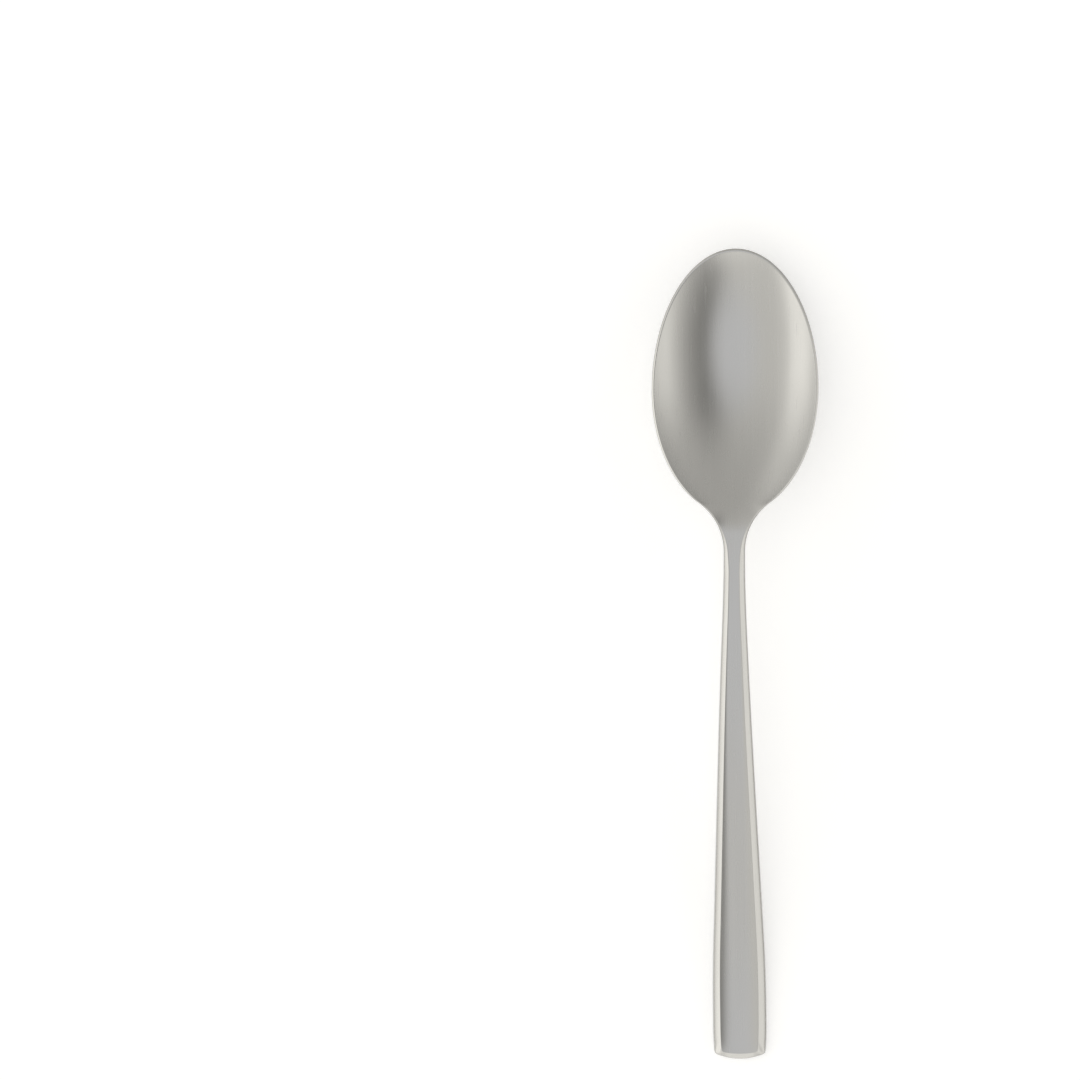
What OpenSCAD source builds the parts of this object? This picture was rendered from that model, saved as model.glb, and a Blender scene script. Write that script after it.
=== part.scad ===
// Dessert spoon in stainless steel: an oval bowl, a slim neck and a tapering
// handle whose face is a shallow channel between two raised rims.
// Sizes are in millimetres. Y runs from the handle's end to the bowl's tip and
// Z is up from the table; the origin is under the middle of the spoon.

/* [Overall] */
// Length from the handle's end to the bowl's tip
length = 185; // [178:1:195]
// Height of the handle's crest above the table
crest_h = 15.6; // [13.5:0.1:18]
// Distance of the crest from the handle's end
crest_y = 96; // [88:1:102]
// Depth of the small flats that the spoon rests on
rest_flat = 0.12; // [0.08:0.01:0.2]

/* [Bowl] */
// Width of the bowl
bowl_w = 38; // [34:0.5:42]
// Length from the bowl's widest line to its tip
bowl_front = 32; // [28:0.5:36]
// Length of the oval behind the widest line
bowl_back = 28.8; // [26:0.2:32]
// Depth of the hollow below the rim
bowl_depth = 7.6; // [6:0.1:9]
// Thickness of the bowl's floor
bowl_gauge = 1.5; // [1.2:0.1:2]
// Width of the polished lip round the bowl
lip_w = 0.45; // [0.3:0.05:0.7]
// Thickness of the bowl at its lip
lip_t = 1.15; // [0.9:0.05:1.4]

/* [Neck] */
// Width of the neck at its narrowest
neck_w = 4.9; // [4.4:0.1:6]
// Thickness of the neck
neck_t = 3.6; // [3:0.1:4.5]
// Radius of the fillet between neck and bowl, seen from above
neck_fillet = 13.5; // [11:0.5:16]

/* [Handle] */
// Greatest width of the handle, near its end
handle_w = 12.3; // [10.5:0.1:15]
// Thickness of the handle at its end
handle_t = 2.9; // [2.4:0.1:3.5]
// Length of the end, over which the sides draw in
end_length = 8.2; // [6.5:0.1:9.5]
// Narrowing of each side over that length
end_draw = 0.36; // [0.1:0.02:0.6]
// Radius of the end's outline, seen from above
end_radius = 14.5; // [11:0.5:20]
// Sharpness of the corners beside the end: more is sharper
end_power = 25; // [15:1:30]

/* [Channel] */
// Depth of the channel near the handle's end
channel_depth_end = 0.6; // [0.4:0.05:0.9]
// Depth of the channel at the neck
channel_depth_neck = 0.12; // [0.08:0.02:0.3]
// Depth of the channel where it meets the bevel across the handle's end
channel_depth_tip = 0.4; // [0.2:0.05:0.5]
// Width of each raised rim near the handle's end
rim_w_end = 1.85; // [1.4:0.05:2.4]
// Width of each raised rim at the neck
rim_w_neck = 1.25; // [0.9:0.05:1.5]
// Height that a rim falls from its ridge to its edge near the handle's end
rim_drop_end = 1.55; // [1.2:0.05:1.7]
// Height that a rim falls from its ridge to its edge at the neck
rim_drop_neck = 1.05; // [0.7:0.05:1.2]
// Width of the bevel across the handle's end
end_bevel = 1.2; // [0.9:0.05:1.5]
// Height from the rims' ridges down to that bevel's edge
end_drop = 1.1; // [0.9:0.05:1.4]

/* [Hidden] */

steel = [0.58, 0.575, 0.563];

// Named places along the spoon, measured from the handle's end
wide_y = length - bowl_front;
fillet_angle = touching_angle(low = 5, high = 89, turns = 40);
heel_y = wide_y - bowl_back * sin(fillet_angle);
fillet_turn = asin(back_normal(fillet_angle)[1]);
narrow_y = heel_y - neck_fillet * sin(fillet_turn);
straight_neck = 6;
joint_y = narrow_y - straight_neck;
pole_y = end_length;
full_w_y = 12;
// Distance behind the widest line at which the bowl's hollow would run out
hollow_back = bowl_back + 0.7;

// Share of the taper that eases in and out at each of its ends
taper_soft = 0.15;
// Share of the channel's half width that is flat, near the end and at the neck
flat_end = 0.15;
flat_neck = 0.8;
// Share of the end's length over which the channel keeps its depth
flat_tip = 0.5;
// Crown of the back, and the share of the edge under the rim that is rounded
back_crown_end = 0.35;
back_crown_neck = 0.7;
back_round = 0.75;
lip_round = 0.4;
// Height that the bowl's lip falls from its ridge to its edge
lip_drop = 0.33;
// Share of a rim's fall that is its straight face, and how sharply that rounds over at the edge
face_share = 0.8;
edge_power = 3;
// Sharpness of the channel's corners at the handle's end, and radius of the line between them
ridge_power = 22;
bevel_radius = 20;
// Directions from the end's pole between which the rims' fall changes to the bevel's
bevel_turn = [35, 65];
// How far each change through the neck starts before its narrowest place and ends past the heel
rim_zone = [5, -3];
fall_zone = [6, 0];
round_zone = [0, 4];
edge_zone = [0, 6];
flat_zone = [2, 0];
// Slope of the bowl's rim line at its tip
tip_slope = -0.045;
// Blend heights where the bowl's hollow and back run into the neck
hollow_blend = 2;
heel_blend = 2.4;
// Direction of the end's corner from its pole, and how much closer the rays stand there
corner_angle = atan(end_length / (handle_w / 2));
corner_spacing = 0.3;
// How closely the points across a rim crowd towards its edge
edge_crowding = 3;
// Spacing of the places at which the bowl's lowest point is looked for
rest_step = 0.25;

// Numbers of steps across a half section, and along the spoon
floor_steps = 10;
rim_steps = 5;
back_steps = 10;
handle_stations = 26;
neck_stations = 4;
fillet_stations = 9;
bowl_stations = 16;
end_rays = 22;
tip_rays = 28;

function mix(a, b, s) = a + (b - a) * s;
function clamp01(s) = min(max(s, 0), 1);
function ease(s) = let (t = clamp01(s)) t * t * (3 - 2 * t);

// Straight ramp from 0 to 1 with a parabola at each end
function ramp(s, soft) =
    let (t = clamp01(s), bend = 2 * soft * (1 - soft))
    t < soft ? t * t / bend
    : t > 1 - soft ? 1 - (1 - t) * (1 - t) / bend
    : (t - soft / 2) / (1 - soft);

// The larger of two heights, blended over the given height
function blend_max(a, b, k) = max(a, b) + pow(max(k - abs(a - b), 0), 2) / (4 * k);

// Plan outline: an oval bowl, a fillet on each side of the neck and a taper

// Unit normal of the bowl's back oval at an angle from its widest line
function back_normal(angle) =
    let (n = [cos(angle) / (bowl_w / 2), sin(angle) / bowl_back])
    n / norm(n);

// Distance of the fillet's centre from the spoon's axis, if it touches at this angle
function fillet_reach(angle) = bowl_w / 2 * cos(angle) + neck_fillet * back_normal(angle)[0];

// Angle at which the fillet touches both the oval and the neck, by halving
function touching_angle(low, high, turns) =
    let (middle = (low + high) / 2)
    turns == 0 ? middle
    : fillet_reach(middle) > neck_w / 2 + neck_fillet ? touching_angle(middle, high, turns - 1)
    : touching_angle(low, middle, turns - 1);

function half_width(y) =
    y >= heel_y ? bowl_w / 2 * sqrt(1 - pow((wide_y - y) / bowl_back, 2))
    : y >= narrow_y ? neck_w / 2 + neck_fillet - sqrt(pow(neck_fillet, 2) - pow(y - narrow_y, 2))
    : mix(neck_w, handle_w, ramp((narrow_y - y) / (narrow_y - full_w_y), taper_soft)) / 2;

// Distance along a ray to an oval of half axes a and b
function oval_reach(angle, a, b) = 1 / norm([cos(angle) / a, sin(angle) / b]);

// Distance along a ray to a line that lies ahead and bows back on both sides
function bowed_reach(ahead, aside, distance, bow) =
    2 * distance / (ahead + sqrt(pow(ahead, 2) + 4 * bow * distance * pow(aside, 2)));

// Distances along a ray to a side of the handle's end and to a line across it
function side_reach(angle, side) = bowed_reach(cos(angle), sin(angle), side, end_draw / pow(end_length, 2));
function far_reach(angle, far, radius) = bowed_reach(sin(angle), cos(angle), far, 1 / (2 * radius));

// The nearer of two reaches, with the corner between them rounded; a higher power is sharper
function cornered(to_side, to_far, power) = pow(pow(to_side, -power) + pow(to_far, -power), -1 / power);

// Share of the way from handle to bowl, for what changes through the neck
function bowlward(y, zone) =
    ease((y - narrow_y + zone[0]) / (heel_y - narrow_y + zone[0] + zone[1]));
// Share of the way from the handle's end to the neck
function neckward(y) = y / narrow_y;

function rim_width(y) = mix(mix(rim_w_end, rim_w_neck, neckward(y)), lip_w, bowlward(y, rim_zone));
function rim_fall(y) = mix(mix(rim_drop_end, rim_drop_neck, neckward(y)), lip_drop, bowlward(y, fall_zone));
function round_share(y) = mix(back_round, lip_round, bowlward(y, round_zone));
function flat_share(y) = mix(mix(flat_end, flat_neck, neckward(y)), 0, bowlward(y, flat_zone));

// Rise of a hollow's floor towards its ridge, past the share that is flat
function cove(share, flat) = pow(max(share - flat, 0) / (1 - flat), 2);

// Fall of a rim from its ridge (0) to its edge (1): a straight face that rounds over at the edge
function rim_profile(s) = mix(1 - pow(1 - pow(s, edge_power), 1 / edge_power), s, face_share);

// Height of the ridge above the table, from the handle's end to the bowl's tip
function tip_weight(y) = let (t = (y - crest_y) / (length - crest_y)) t * t * (3 - 2 * t);
function crest_part(y) =
    let (run = length - crest_y, t = (y - crest_y) / run)
    crest_h * (1 - tip_weight(y)) + tip_slope * run * t * t * (t - 1);

// Height of the lip at the tip that lets the bowl's underside just reach the table
tip_h = max([
    for (y = [wide_y : rest_step : wide_y + bowl_front / 2])
        (bowl_hollow(y) + bowl_gauge - crest_part(y)) / tip_weight(y)
]) - rest_flat;

function ridge_z(y) =
    y < crest_y ? mix(handle_t - rest_flat, crest_h, ease(y / crest_y))
    : crest_part(y) + tip_h * tip_weight(y);

// Depth of the hollow on the axis, and thickness from the ridge to the back
function bowl_hollow(y) =
    bowl_depth * (1 - pow((y - wide_y) / (y < wide_y ? hollow_back : bowl_front - lip_w), 2));
function hollow(y) =
    blend_max(bowl_hollow(y), mix(channel_depth_end, channel_depth_neck, neckward(y)), hollow_blend);
function stem_t(y) = mix(handle_t, neck_t, ease(neckward(y)));
function thickness(y) = blend_max(stem_t(y), hollow(y) + bowl_gauge, heel_blend);
function edge_t(y) =
    mix(stem_t(y) - mix(back_crown_end, back_crown_neck, neckward(y)), lip_t, bowlward(y, edge_zone));

// Half section, from the top of the axis out to the edge and back under it.
// It stands on a ray from [0, y0] at an angle from +X; ridge and edge are distances along it,
// and rise gives the share of the depth that the floor has come up at a share of the way to the ridge.
function half_section(y0, angle, ridge, edge, depth, rise, thick, rim_t, fall, rounded) =
    let (
        under = rounded * (rim_t - fall),
        sill = depth * (1 - rise(1)),
        back = function(d) rim_t + (thick - rim_t) * (1 - pow(d / edge, 2)),
        place = function(d, below) let (y = y0 + d * sin(angle)) [d * cos(angle), y, ridge_z(y) - below]
    )
    concat(
        [for (k = [0 : floor_steps]) let (t = k / floor_steps)
            place(ridge * t, depth * (1 - rise(t)))],
        [for (k = [1 : rim_steps]) let (s = 1 - pow(1 - k / rim_steps, edge_crowding))
            place(mix(ridge, edge, s), mix(sill, fall, rim_profile(s)))],
        [for (k = [rim_steps : -1 : 0]) let (a = 90 * k / rim_steps, d = mix(ridge, edge, sin(a)))
            place(d, back(d) - under * (1 - cos(a)))],
        [for (k = [back_steps - 1 : -1 : 0]) let (d = ridge * k / back_steps)
            place(d, back(d))]
    );

// Section straight across the spoon
function across(y) =
    half_section(y, 0, half_width(y) - rim_width(y), half_width(y), hollow(y),
                 function(t) cove(t, flat_share(y)), thickness(y), edge_t(y), rim_fall(y), round_share(y));

// Section on a ray round the bowl's tip
function tip_section(angle) =
    half_section(wide_y, angle, oval_reach(angle, bowl_w / 2 - lip_w, bowl_front - lip_w),
                 oval_reach(angle, bowl_w / 2, bowl_front), bowl_depth, function(t) cove(t, 0),
                 bowl_depth + bowl_gauge, lip_t, lip_drop, lip_round);

// Angle of a ray round the handle's end, for -1 to 1; rays stand closest at its corner
function end_angle(s) =
    corner_angle + (s < 0 ? corner_angle : 90 - corner_angle) * s * mix(corner_spacing, 1, s * s);

// Section on a ray round the handle's end, where the channel runs out over the bevel
function end_section(angle) =
    let (
        w = half_width(pole_y),
        edge = cornered(side_reach(angle, w), far_reach(angle, end_length, end_radius), end_power),
        to_side = side_reach(angle, w - rim_width(pole_y)),
        to_far = far_reach(angle, end_length - end_bevel, bevel_radius),
        ridge = cornered(to_side, to_far, ridge_power),
        depth = hollow(pole_y),
        depth_left = function(t) mix(1, channel_depth_tip / depth, cove(t * ridge / to_far, flat_tip)),
        rise = function(t) 1 - (1 - cove(t * ridge / to_side, flat_share(pole_y))) * depth_left(t),
        turn = ease((angle - bevel_turn[0]) / (bevel_turn[1] - bevel_turn[0]))
    )
    half_section(pole_y, -angle, ridge, edge, depth, rise, thickness(pole_y), edge_t(pole_y),
                 mix(rim_fall(pole_y), end_drop, turn), round_share(pole_y));

// Closed solid from the half sections of its right side, in order along the spoon.
// An end whose section lies on the axis is closed already; a cut end gets a flat face.
module solid_of(sections, cut_back = false, cut_front = false) {
    n = len(sections);
    m = len(sections[0]);
    right = [for (s = sections) each s];
    points = concat(right, [for (p = right) [-p[0], p[1], p[2]]]);
    function left(i) = n * m + i;
    quads = [for (i = [0 : n - 2]) for (k = [0 : m - 2]) let (a = i * m + k) [a, a + m, a + m + 1, a + 1]];
    triangles = [for (q = quads) each [[q[0], q[1], q[2]], [q[0], q[2], q[3]]]];
    mirrored = [for (t = triangles) [left(t[2]), left(t[1]), left(t[0])]];
    function is_full(t) =
        points[t[0]] != points[t[1]] && points[t[1]] != points[t[2]] && points[t[2]] != points[t[0]];
    back_face = concat([for (k = [m - 1 : -1 : 1]) left(k)], [for (k = [0 : m - 2]) k]);
    front_face = [for (k = [len(back_face) : -1 : 1]) back_face[k % len(back_face)] + (n - 1) * m];
    polyhedron(points, concat([for (t = concat(triangles, mirrored)) if (is_full(t)) t],
                              cut_back ? [back_face] : [], cut_front ? [front_face] : []));
}

// Cuts the flats that rest on the table and moves the part over its origin
module standing() {
    margin = 1;
    translate([0, -length / 2, 0]) difference() {
        children();
        translate([-bowl_w, -margin, -2 * margin]) cube([2 * bowl_w, length + 2 * margin, 2 * margin]);
    }
}

// Places of the sections along the bowl's back oval and along the neck fillet, by equal angles
function oval_place(i) = wide_y - bowl_back * sin(fillet_angle * i / bowl_stations);
function fillet_place(i) = narrow_y + neck_fillet * sin(fillet_turn * i / fillet_stations);

module bowl() {
    color(steel) standing() solid_of(concat(
        [for (i = [bowl_stations : -1 : 0]) across(oval_place(i))],
        [for (i = [1 : tip_rays]) tip_section(90 * i / tip_rays)]
    ), cut_back = true);
}

module neck() {
    color(steel) translate([0, -length / 2, 0]) solid_of(concat(
        [for (i = [0 : neck_stations - 1]) across(mix(joint_y, narrow_y, i / neck_stations))],
        [for (i = [0 : fillet_stations]) across(fillet_place(i))]
    ), cut_back = true, cut_front = true);
}

module handle() {
    color(steel) standing() solid_of(concat(
        [for (i = [end_rays : -1 : 1]) end_section(end_angle(2 * i / end_rays - 1))],
        [for (i = [0 : handle_stations]) across(mix(pole_y, joint_y, i / handle_stations))]
    ), cut_front = true);
}

bowl();
neck();
handle();
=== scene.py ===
import math

import bmesh
import bpy
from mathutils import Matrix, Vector


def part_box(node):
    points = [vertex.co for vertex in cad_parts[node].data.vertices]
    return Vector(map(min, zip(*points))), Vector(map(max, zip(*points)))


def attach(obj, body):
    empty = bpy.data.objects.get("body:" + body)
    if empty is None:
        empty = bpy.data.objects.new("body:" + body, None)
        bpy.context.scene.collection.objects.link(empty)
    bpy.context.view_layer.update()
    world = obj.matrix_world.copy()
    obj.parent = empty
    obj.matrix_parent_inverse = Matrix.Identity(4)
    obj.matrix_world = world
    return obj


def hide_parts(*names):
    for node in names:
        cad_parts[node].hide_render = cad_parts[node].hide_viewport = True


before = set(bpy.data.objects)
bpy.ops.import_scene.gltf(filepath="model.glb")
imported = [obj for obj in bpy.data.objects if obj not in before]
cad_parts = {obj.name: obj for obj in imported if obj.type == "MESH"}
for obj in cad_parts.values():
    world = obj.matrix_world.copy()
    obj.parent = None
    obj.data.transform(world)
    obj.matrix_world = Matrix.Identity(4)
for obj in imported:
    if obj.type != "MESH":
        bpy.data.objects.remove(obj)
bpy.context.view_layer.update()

# Blank
# The whole spoon is one strip of stainless steel: cut to its outline, rolled thin for the bowl, pressed
# between dies and polished. Its outline and thickness run on unbroken through handle, neck and bowl.
# Sizes are in millimetres, and places along the spoon are counted from the handle's end.

MM = 0.001
end_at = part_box("handle")[0].y / MM
joint_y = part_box("handle")[1].y / MM - end_at
heel_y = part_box("bowl")[0].y / MM - end_at
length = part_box("bowl")[1].y / MM - end_at
handle_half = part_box("handle")[1].x / MM
bowl_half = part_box("bowl")[1].x / MM


def mix(a, b, share):
    return a + (b - a) * share


def ease(share):
    t = min(max(share, 0), 1)
    return t * t * (3 - 2 * t)


def ramp(share, soft):
    """Straight rise from 0 to 1 with a parabola at each end."""
    t = min(max(share, 0), 1)
    bend = 2 * soft * (1 - soft)
    if t < soft:
        return t * t / bend
    if t > 1 - soft:
        return 1 - (1 - t) ** 2 / bend
    return (t - soft / 2) / (1 - soft)


def blend_max(a, b, reach):
    """The larger of two heights, with the corner between them rounded."""
    return max(a, b) + max(reach - abs(a - b), 0) ** 2 / (4 * reach)


# Outline: an oval bowl, a fillet on each side of the neck and a long taper
bowl_front = 32
bowl_back = 28.8
neck_half = 2.45
fillet_r = 13.5
full_w_y = 12
taper_soft = 0.15
wide_y = length - bowl_front


def oval_half(y):
    return bowl_half * math.sqrt(1 - ((wide_y - y) / bowl_back) ** 2)


neck_flare = oval_half(heel_y) - neck_half
narrow_y = heel_y - math.sqrt(neck_flare * (2 * fillet_r - neck_flare))


def half_width(y):
    if y >= heel_y:
        return oval_half(y)
    if y >= narrow_y:
        return neck_half + fillet_r - math.sqrt(fillet_r**2 - (y - narrow_y) ** 2)
    return mix(neck_half, handle_half, ramp((narrow_y - y) / (narrow_y - full_w_y), taper_soft))


def neckward(y):
    """Share of the way from the handle's end to the neck."""
    return y / narrow_y


def bowlward(y, zone):
    """Share of a change that starts before the narrowest place and ends past the heel."""
    before, after = zone
    return ease((y - narrow_y + before) / (heel_y - narrow_y + before + after))


# Rims: two sloping faces beside the channel, which run out into the bowl's lip
rim_w_end = 1.85
rim_w_neck = 1.25
lip_w = 0.45
rim_zone = (5, -3)
rim_drop_end = 1.55
rim_drop_neck = 1.05
lip_drop = 0.33
fall_zone = (6, 0)
back_round = 0.75
lip_round = 0.4
round_zone = (0, 4)


def rim_width(y):
    return mix(mix(rim_w_end, rim_w_neck, neckward(y)), lip_w, bowlward(y, rim_zone))


def rim_fall(y):
    return mix(mix(rim_drop_end, rim_drop_neck, neckward(y)), lip_drop, bowlward(y, fall_zone))


def round_share(y):
    """Share of the edge under a rim that is rounded."""
    return mix(back_round, lip_round, bowlward(y, round_zone))


# Hollow: the channel's flat floor with a cove on each side, which deepens into the bowl
channel_end = 0.66
channel_neck = 0.04
channel_power = 1.7
cove_slope = 0.335
flat_zone = (2, 0)
bowl_depth = 7.6
hollow_back = 29.5
hollow_blend = 2.0


def channel(y):
    """Depth of the handle's channel, which runs out towards the neck."""
    return mix(channel_neck, channel_end, (1 - min(neckward(y), 1)) ** channel_power)


def flat_share(y):
    """Share of the floor that is flat; the cove beside it meets the ridge at an even slope."""
    coved = 2 * channel(y) / (cove_slope * (half_width(y) - rim_width(y)))
    return mix(1 - coved, 0, bowlward(y, flat_zone))


def cove(share, flat):
    """Rise of a hollow's floor towards its ridge, past the share that is flat."""
    return (max(share - flat, 0) / (1 - flat)) ** 2


def bowl_hollow(y):
    return bowl_depth * (1 - ((y - wide_y) / (hollow_back if y < wide_y else bowl_front - lip_w)) ** 2)


def hollow(y):
    return blend_max(bowl_hollow(y), channel(y), hollow_blend)


# Thickness: on the axis, and at the edge, where the crowned back leaves less
handle_t = 2.9
neck_t = 3.6
bowl_gauge = 1.5
heel_blend = 2.4
crown_end = 0.35
crown_neck = 0.7
lip_t = 1.15
edge_zone = (0, 6)


def stem_t(y):
    return mix(handle_t, neck_t, ease(neckward(y)))


def thickness(y):
    return blend_max(stem_t(y), hollow(y) + bowl_gauge, heel_blend)


def edge_t(y):
    return mix(stem_t(y) - mix(crown_end, crown_neck, neckward(y)), lip_t, bowlward(y, edge_zone))


# Side view: up from the table to a crest before the neck, and down to the bowl's tilted lip
crest_y = 96
crest_h = 15.6
tip_slope = -0.045
rest_flat = 0.12
rest_step = 0.25


def tip_share(y):
    return ease((y - crest_y) / (length - crest_y))


def crest_part(y):
    run = length - crest_y
    t = (y - crest_y) / run
    return crest_h * (1 - tip_share(y)) + tip_slope * run * t * t * (t - 1)


rest_places = [wide_y + rest_step * i for i in range(2 * bowl_front + 1)]
tip_h = max((bowl_hollow(y) + bowl_gauge - crest_part(y)) / tip_share(y) for y in rest_places) - rest_flat


def ridge_z(y):
    if y < crest_y:
        return mix(handle_t - rest_flat, crest_h, ease(y / crest_y))
    return crest_part(y) + tip_h * tip_share(y)


# Section: a rim is a straight face that rounds over at its edge, and its points crowd at ridge and edge
face_share = 0.8
edge_power = 3
floor_steps = 26
rim_steps = 18
round_steps = 8
back_steps = 18
ridge_crowding = 1.4


def half_section(start_y, angle, ridge, edge, depth, rise, thick, rim_t, fall, rounded):
    """Points from the axis over floor, rim and edge and back underneath, on a ray at an angle from +X.
    Each is x, y, z in millimetres and the share of smoother polish there, which also lightens the colour as
    a painted highlight."""
    under = rounded * (rim_t - fall)
    sill = depth * (1 - rise(1))

    def back(d):
        return rim_t + (thick - rim_t) * (1 - (d / edge) ** 2)

    line = []
    for k in range(floor_steps + 1):
        t = 1 - (1 - k / floor_steps) ** ridge_crowding
        line.append((ridge * t, depth * (1 - rise(t)), k == floor_steps))
    for k in range(1, rim_steps + 1):
        a = math.pi / 2 * (k / rim_steps) ** 2
        out = math.sin(a) ** (2 / edge_power)
        over = 1 - abs(math.cos(a)) ** (2 / edge_power)
        line.append((mix(ridge, edge, out), mix(sill, fall, mix(over, out, face_share)), 1))
    for k in range(round_steps, -1, -1):
        a = math.pi / 2 * k / round_steps
        d = mix(ridge, edge, math.sin(a))
        line.append((d, back(d) - under * (1 - math.cos(a)), math.sin(a)))
    for k in range(back_steps - 1, -1, -1):
        line.append((ridge * k / back_steps, back(ridge * k / back_steps), 0))

    points = []
    for d, below, polish_and_highlight in line:
        y = start_y + d * math.sin(angle)
        points.append((d * math.cos(angle), y, max(ridge_z(y) - below, 0), polish_and_highlight))
    return points


def across(y):
    """Half section straight across the spoon."""
    w = half_width(y)
    return half_section(y, 0, w - rim_width(y), w, hollow(y), lambda t: cove(t, flat_share(y)), thickness(y),
                        edge_t(y), rim_fall(y), round_share(y))


def press(name, sections):
    """Skin over half sections and their mirror images; a cut end is closed with a flat face."""
    weld = 1e-7
    rows = len(sections) - 1
    columns = len(sections[0]) - 1
    metal = bmesh.new()
    bmesh.ops.create_grid(metal, x_segments=rows, y_segments=columns, size=0.5)
    polish_and_highlight = metal.verts.layers.float.new("polish_and_highlight")
    for vert in metal.verts:
        row = round((vert.co.x + 0.5) * rows)
        column = round((vert.co.y + 0.5) * columns)
        x, y, z, vert[polish_and_highlight] = sections[row][column]
        vert.co = (x * MM, (y + end_at) * MM, z * MM)
    whole = metal.verts[:] + metal.edges[:] + metal.faces[:]
    bmesh.ops.mirror(metal, geom=whole, axis="X", merge_dist=weld)
    bmesh.ops.remove_doubles(metal, verts=metal.verts, dist=weld)
    for face in metal.faces:
        face.smooth = True
    cut = [edge for edge in metal.edges if edge.is_boundary]
    for edge in cut:
        edge.smooth = False
    bmesh.ops.holes_fill(metal, edges=cut, sides=0)
    bmesh.ops.recalc_face_normals(metal, faces=metal.faces)
    mesh = bpy.data.meshes.new(name)
    metal.to_mesh(mesh)
    metal.free()
    piece = bpy.data.objects.new(name, mesh)
    bpy.context.scene.collection.objects.link(piece)
    piece.data.materials.append(steel)
    return piece


class Wire:
    """A node socket; arithmetic on it adds Math nodes."""

    def __init__(self, tree, socket):
        self.tree = tree
        self.socket = socket

    def node(self, kind, settings, inputs, output=0):
        """Adds a node, sets it up, then fills or links its inputs, and returns one of its outputs."""
        made = self.tree.nodes.new(kind)
        for key, value in settings.items():
            setattr(made, key, value)
        for key, value in inputs.items():
            if isinstance(value, Wire):
                self.tree.links.new(value.socket, made.inputs[key])
            else:
                made.inputs[key].default_value = value
        return Wire(self.tree, made.outputs[output])

    def math(self, operation, a, b):
        return self.node("ShaderNodeMath", {"operation": operation}, {0: a, 1: b})

    def smooth(self, low, high):
        """0 below one value, 1 above the other, with an S curve between."""
        return self.node("ShaderNodeMapRange", {"interpolation_type": "SMOOTHSTEP"},
                         {"Value": self, "From Min": low, "From Max": high})

    def __add__(self, other):
        return self.math("ADD", self, other)

    def __radd__(self, other):
        return self.math("ADD", other, self)

    def __sub__(self, other):
        return self.math("SUBTRACT", self, other)

    def __rsub__(self, other):
        return self.math("SUBTRACT", other, self)

    def __mul__(self, other):
        return self.math("MULTIPLY", self, other)

    def __rmul__(self, other):
        return self.math("MULTIPLY", other, self)


# Finish: satin with fine lengthwise grain, faint clouds and a few short scratches; rims, edges and lip are
# smoother polished, and their colour is lightened as a painted highlight
steel = bpy.data.materials.new("stainless_steel")
steel.use_nodes = True
shader = steel.node_tree.nodes["Principled BSDF"]
start = Wire(steel.node_tree, None)
place = start.node("ShaderNodeTexCoord", {}, {}, "Object")
# The polish share marks rims, edges and lip: it makes them smoother, and it also lightens their colour, a
# painted highlight
polish_and_highlight = start.node("ShaderNodeAttribute", {"attribute_name": "polish_and_highlight"}, {}, "Fac")


def noise(stretch, detail):
    """Noise in the metal, about 0; stretch is its number of grains to a metre along X, Y and Z."""
    spot = start.node("ShaderNodeVectorMath", {"operation": "MULTIPLY"}, {0: place, 1: stretch}, "Vector")
    value = start.node("ShaderNodeTexNoise", {}, {"Vector": spot, "Scale": 1.0, "Detail": detail}, "Fac")
    return value - 0.5


grain = noise((5000, 9, 400), 1.0)
bands = noise((900, 5, 200), 1.0)
clouds = noise((150, 60, 150), 2.0)
scratch = noise((4200, 90, 800), 0.0).smooth(0.22, 0.26)

dull = (0.555, 0.551, 0.538, 1)
bright = (0.605, 0.601, 0.588, 1)
satin = 0.24
# Grain and bands are the metal's own tone; the polish share adds a painted highlight, a lighter colour on
# rims, edges and lip
tone = 0.4 + grain * 0.36 + bands * 0.44 + polish_and_highlight * 0.2
colour = start.node("ShaderNodeMix", {"data_type": "RGBA"}, {"Factor": tone, 6: dull, 7: bright}, 2)
roughness = satin - polish_and_highlight * 0.06 + grain * 0.05 + clouds * 0.08 + scratch * 0.05
relief = start.node("ShaderNodeBump", {}, {"Strength": 0.02, "Distance": 0.00001,
                                           "Height": grain - scratch * 0.5}, "Normal")
shader.inputs["Metallic"].default_value = 1
steel.node_tree.links.new(colour.socket, shader.inputs["Base Color"])
steel.node_tree.links.new(roughness.socket, shader.inputs["Roughness"])
steel.node_tree.links.new(relief.socket, shader.inputs["Normal"])

# Handle
# The tapering stem that is held: a shallow channel between two raised rims, which runs out at the rounded
# end over a narrow bevel. It is pressed with the rest of the blank and runs straight into the neck.

end_length = 8.2
end_draw = 0.36
end_radius = 14.5
end_power = 25
end_bevel = 1.2
end_drop = 1.1
bevel_radius = 20
ridge_power = 22
channel_tip = 0.4
flat_tip = 0.5
turn_from = math.radians(35)
turn_to = math.radians(65)
corner_angle = math.atan(end_length / handle_half)
corner_spacing = 0.3
neck_crowding = 1.25
end_rays = 60
handle_rows = 110


def bowed_reach(ahead, aside, distance, bow):
    """Distance along a ray to a line that lies ahead and bows back on both sides."""
    return 2 * distance / (ahead + math.sqrt(ahead**2 + 4 * bow * distance * aside**2))


def side_reach(angle, side):
    return bowed_reach(math.cos(angle), math.sin(angle), side, end_draw / end_length**2)


def far_reach(angle, far, radius):
    return bowed_reach(math.sin(angle), math.cos(angle), far, 0.5 / radius)


def cornered(to_side, to_far, power):
    """The nearer of two reaches, with the corner between them rounded; a higher power is sharper."""
    return (to_side**-power + to_far**-power) ** (-1 / power)


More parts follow.
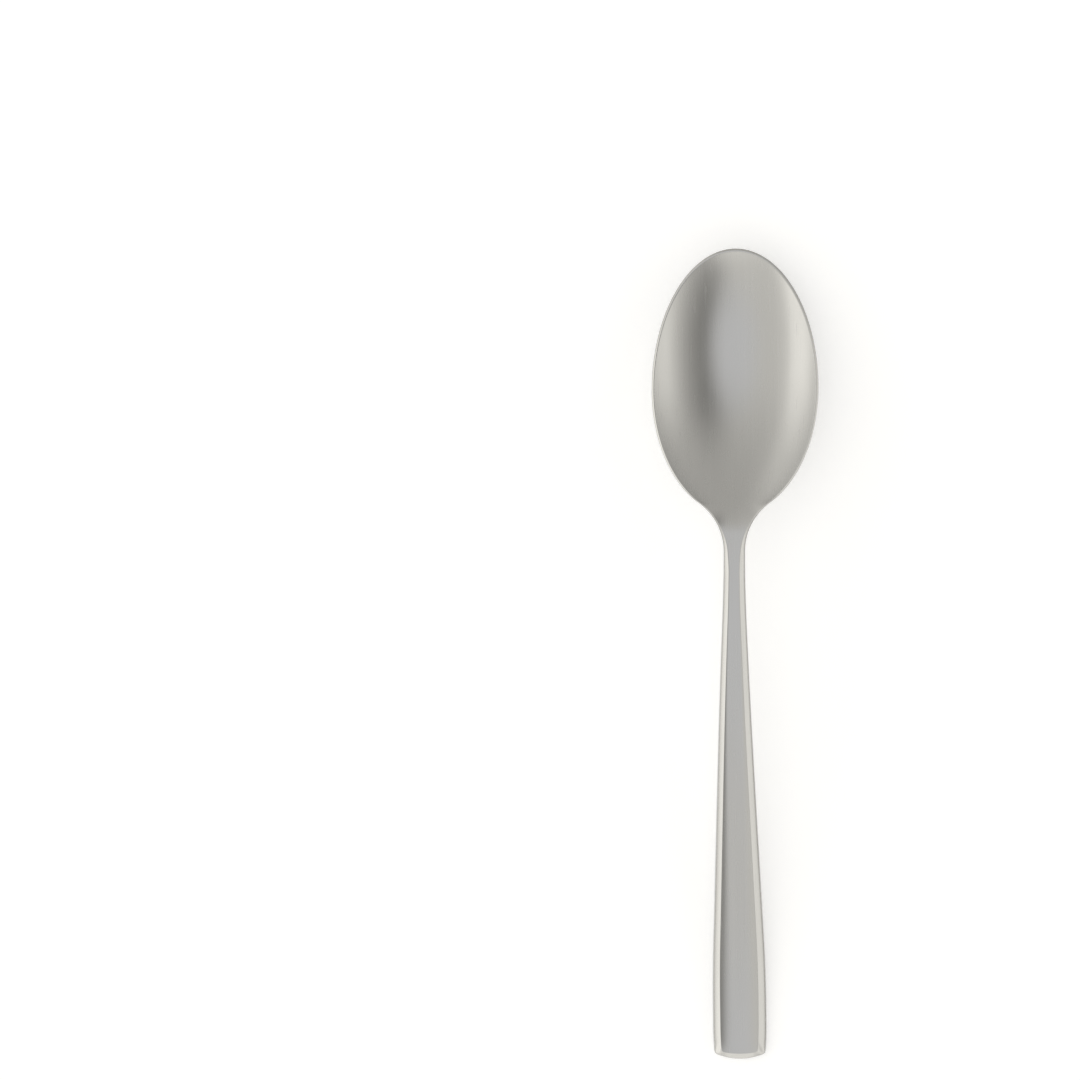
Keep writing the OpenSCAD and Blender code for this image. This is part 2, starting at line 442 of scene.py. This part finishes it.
def end_section(angle):
    """Half section on a ray round the handle's end, where the channel runs out over the bevel."""
    w = half_width(end_length)
    edge = cornered(side_reach(angle, w), far_reach(angle, end_length, end_radius), end_power)
    to_side = side_reach(angle, w - rim_width(end_length))
    to_far = far_reach(angle, end_length - end_bevel, bevel_radius)
    ridge = cornered(to_side, to_far, ridge_power)
    depth = hollow(end_length)

    def rise(t):
        depth_left = mix(1, channel_tip / depth, cove(t * ridge / to_far, flat_tip))
        return 1 - (1 - cove(t * ridge / to_side, flat_share(end_length))) * depth_left

    turn = ease((angle - turn_from) / (turn_to - turn_from))
    fall = mix(rim_fall(end_length), end_drop, turn)
    return half_section(end_length, -angle, ridge, edge, depth, rise, thickness(end_length),
                        edge_t(end_length), fall, round_share(end_length))


handle_sections = []
for i in range(end_rays):
    s = 1 - 2 * i / end_rays
    side_angle = corner_angle if s < 0 else math.pi / 2 - corner_angle
    handle_sections.append(end_section(corner_angle + side_angle * s * mix(corner_spacing, 1, s * s)))
for i in range(handle_rows + 1):
    handle_sections.append(across(mix(end_length, joint_y, 1 - (1 - i / handle_rows) ** neck_crowding)))

handle = press("polished_handle", handle_sections)
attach(handle, "root")
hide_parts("handle")

# Neck
# The narrow shank between handle and bowl, where the rims run out into the bowl's thin lip and the
# channel opens into its hollow. It is the thickest place of the blank, because it bears the bending.

neck_rows = 70
neck_sections = [across(mix(joint_y, heel_y, ease(i / neck_rows))) for i in range(neck_rows + 1)]
neck = press("polished_neck", neck_sections)
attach(neck, "root")
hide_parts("neck")

# Bowl
# The oval dish that carries the food, rolled to about half the handle's thickness and drawn down in a
# die. Its edge is ground and polished to a narrow rounded lip.

heel_angle = math.asin((wide_y - heel_y) / bowl_back)
bowl_rows = 60
tip_rays = 70


def oval_reach(angle, a, b):
    """Distance along a ray to an oval of half axes a and b."""
    return 1 / math.hypot(math.cos(angle) / a, math.sin(angle) / b)


def tip_section(angle):
    """Half section on a ray round the bowl's tip."""
    return half_section(wide_y, angle, oval_reach(angle, bowl_half - lip_w, bowl_front - lip_w),
                        oval_reach(angle, bowl_half, bowl_front), bowl_depth, lambda t: cove(t, 0),
                        bowl_depth + bowl_gauge, lip_t, lip_drop, lip_round)


bowl_sections = []
for i in range(bowl_rows):
    bowl_sections.append(across(wide_y - bowl_back * math.sin(heel_angle * (1 - i / bowl_rows))))
for i in range(tip_rays + 1):
    bowl_sections.append(tip_section(math.pi / 2 * i / tip_rays))

bowl = press("polished_bowl", bowl_sections)
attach(bowl, "root")
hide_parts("bowl")

# Studio
# A sheet of pale paper under a wide white tent: grey overhead, bright all round, dim at the horizon, and
# with one dark gap on the right, which draws the edge of the channel. The camera looks down from a little
# to the right, through a long lens, with the spoon in the right half of the picture.

floor_size = 40
table = bmesh.new()
bmesh.ops.create_grid(table, x_segments=1, y_segments=1, size=floor_size / 2)
floor_mesh = bpy.data.meshes.new("table_top")
table.to_mesh(floor_mesh)
table.free()
floor = bpy.data.objects.new("table_top", floor_mesh)
bpy.context.scene.collection.objects.link(floor)

paper = bpy.data.materials.new("pale_paper")
paper.use_nodes = True
paper_shader = paper.node_tree.nodes["Principled BSDF"]
paper_shader.inputs["Base Color"].default_value = (0.93, 0.93, 0.93, 1)
paper_shader.inputs["Roughness"].default_value = 0.9
paper_shader.inputs["Specular IOR Level"].default_value = 0.1
paper_shader.inputs["Emission Strength"].default_value = 1
sheet = Wire(paper.node_tree, None)
seen = sheet.node("ShaderNodeLightPath", {}, {}, "Is Camera Ray")
seen = seen + sheet.node("ShaderNodeLightPath", {}, {}, "Is Glossy Ray")
seen = seen + sheet.node("ShaderNodeLightPath", {}, {}, "Is Transmission Ray")
unseen_glow = (0, 0, 0, 1)
white_glow = (0.36, 0.36, 0.36, 1)
glow = sheet.node("ShaderNodeMix", {"data_type": "RGBA", "clamp_factor": True},
                  {"Factor": seen, 6: unseen_glow, 7: white_glow}, 2)
paper.node_tree.links.new(glow.socket, paper_shader.inputs["Emission Color"])
floor.data.materials.append(paper)

tent = bpy.data.worlds.new("tent")
tent.use_nodes = True
bpy.context.scene.world = tent
sky = Wire(tent.node_tree, None)
way = sky.node("ShaderNodeTexCoord", {}, {}, "Generated")
east = sky.node("ShaderNodeSeparateXYZ", {}, {"Vector": way}, "X")
north = sky.node("ShaderNodeSeparateXYZ", {}, {"Vector": way}, "Y")
up = sky.node("ShaderNodeSeparateXYZ", {}, {"Vector": way}, "Z")

# Strength of the tent's cloth overhead, what each part of it adds or takes, and how far the dim horizon
# rises in the east
overhead = 0.80
wall_gain = 0.38
west_gain = 0.26
front_gain = 0.34
gap_loss = 0.5
north_loss = 0.22
horizon_loss = 0.3
east_loss = 0.1
east_lift = 0.08

front = (0 - north).smooth(0.58, 0.78)
walls = (1 - up.smooth(0.42, 0.56)) * up.smooth(0.10, 0.30) * (1 - front)
wall_light = wall_gain * (1 - north.smooth(0.1, 0.6)) + west_gain * (0 - east).smooth(0.1, 0.8)
gap = (1 - up.smooth(0.83, 0.985)) * up.smooth(0.44, 0.82) * east.smooth(-0.1, 0.5)
gap = gap * (1 - north.smooth(0.30, 0.90)) * (1 - front)
horizon = 1 - (up - east * east_lift).smooth(0.02, 0.28)
level = overhead + walls * wall_light + front * front_gain
level = level - gap * gap_loss - north.smooth(0.12, 0.88) * north_loss
level = level - horizon * (horizon_loss + east * east_loss)
tent.node_tree.links.new(level.socket, tent.node_tree.nodes["Background"].inputs["Strength"])

warm_cloth = (1, 0.982, 0.935, 1)
cool_cloth = (0.995, 1, 1.015, 1)
hue = sky.node("ShaderNodeMix", {"data_type": "RGBA"},
               {"Factor": up.smooth(0.80, 1.0), 6: warm_cloth, 7: cool_cloth}, 2)
tent.node_tree.links.new(hue.socket, tent.node_tree.nodes["Background"].inputs["Color"])

# Where the spoon's tip, end and axis lie in the picture, in pixels, and how the camera is turned to match
photo_px = 1080
tip_px = 249.1
end_px = 1059.2
axis_px = 737.8
lean = math.radians(0.24)
tilt = math.radians(5.6)
aim_height = 3
lens = 200
far_clip = 20
px = length / (end_px - tip_px)
camera_data = bpy.data.cameras.new("camera")
camera_data.lens = lens
camera_data.clip_end = far_clip
camera = bpy.data.objects.new("camera", camera_data)
camera.rotation_euler = (0, tilt, -lean)
stand = Vector((photo_px / 2 - axis_px, (tip_px + end_px - photo_px) / 2,
                photo_px * lens / camera_data.sensor_width)) * px
stand.rotate(camera.rotation_euler)
camera.location = (stand + Vector((0, 0, aim_height))) * MM
bpy.context.scene.collection.objects.link(camera)
bpy.context.scene.camera = camera
bpy.context.scene.view_settings.view_transform = "Standard"
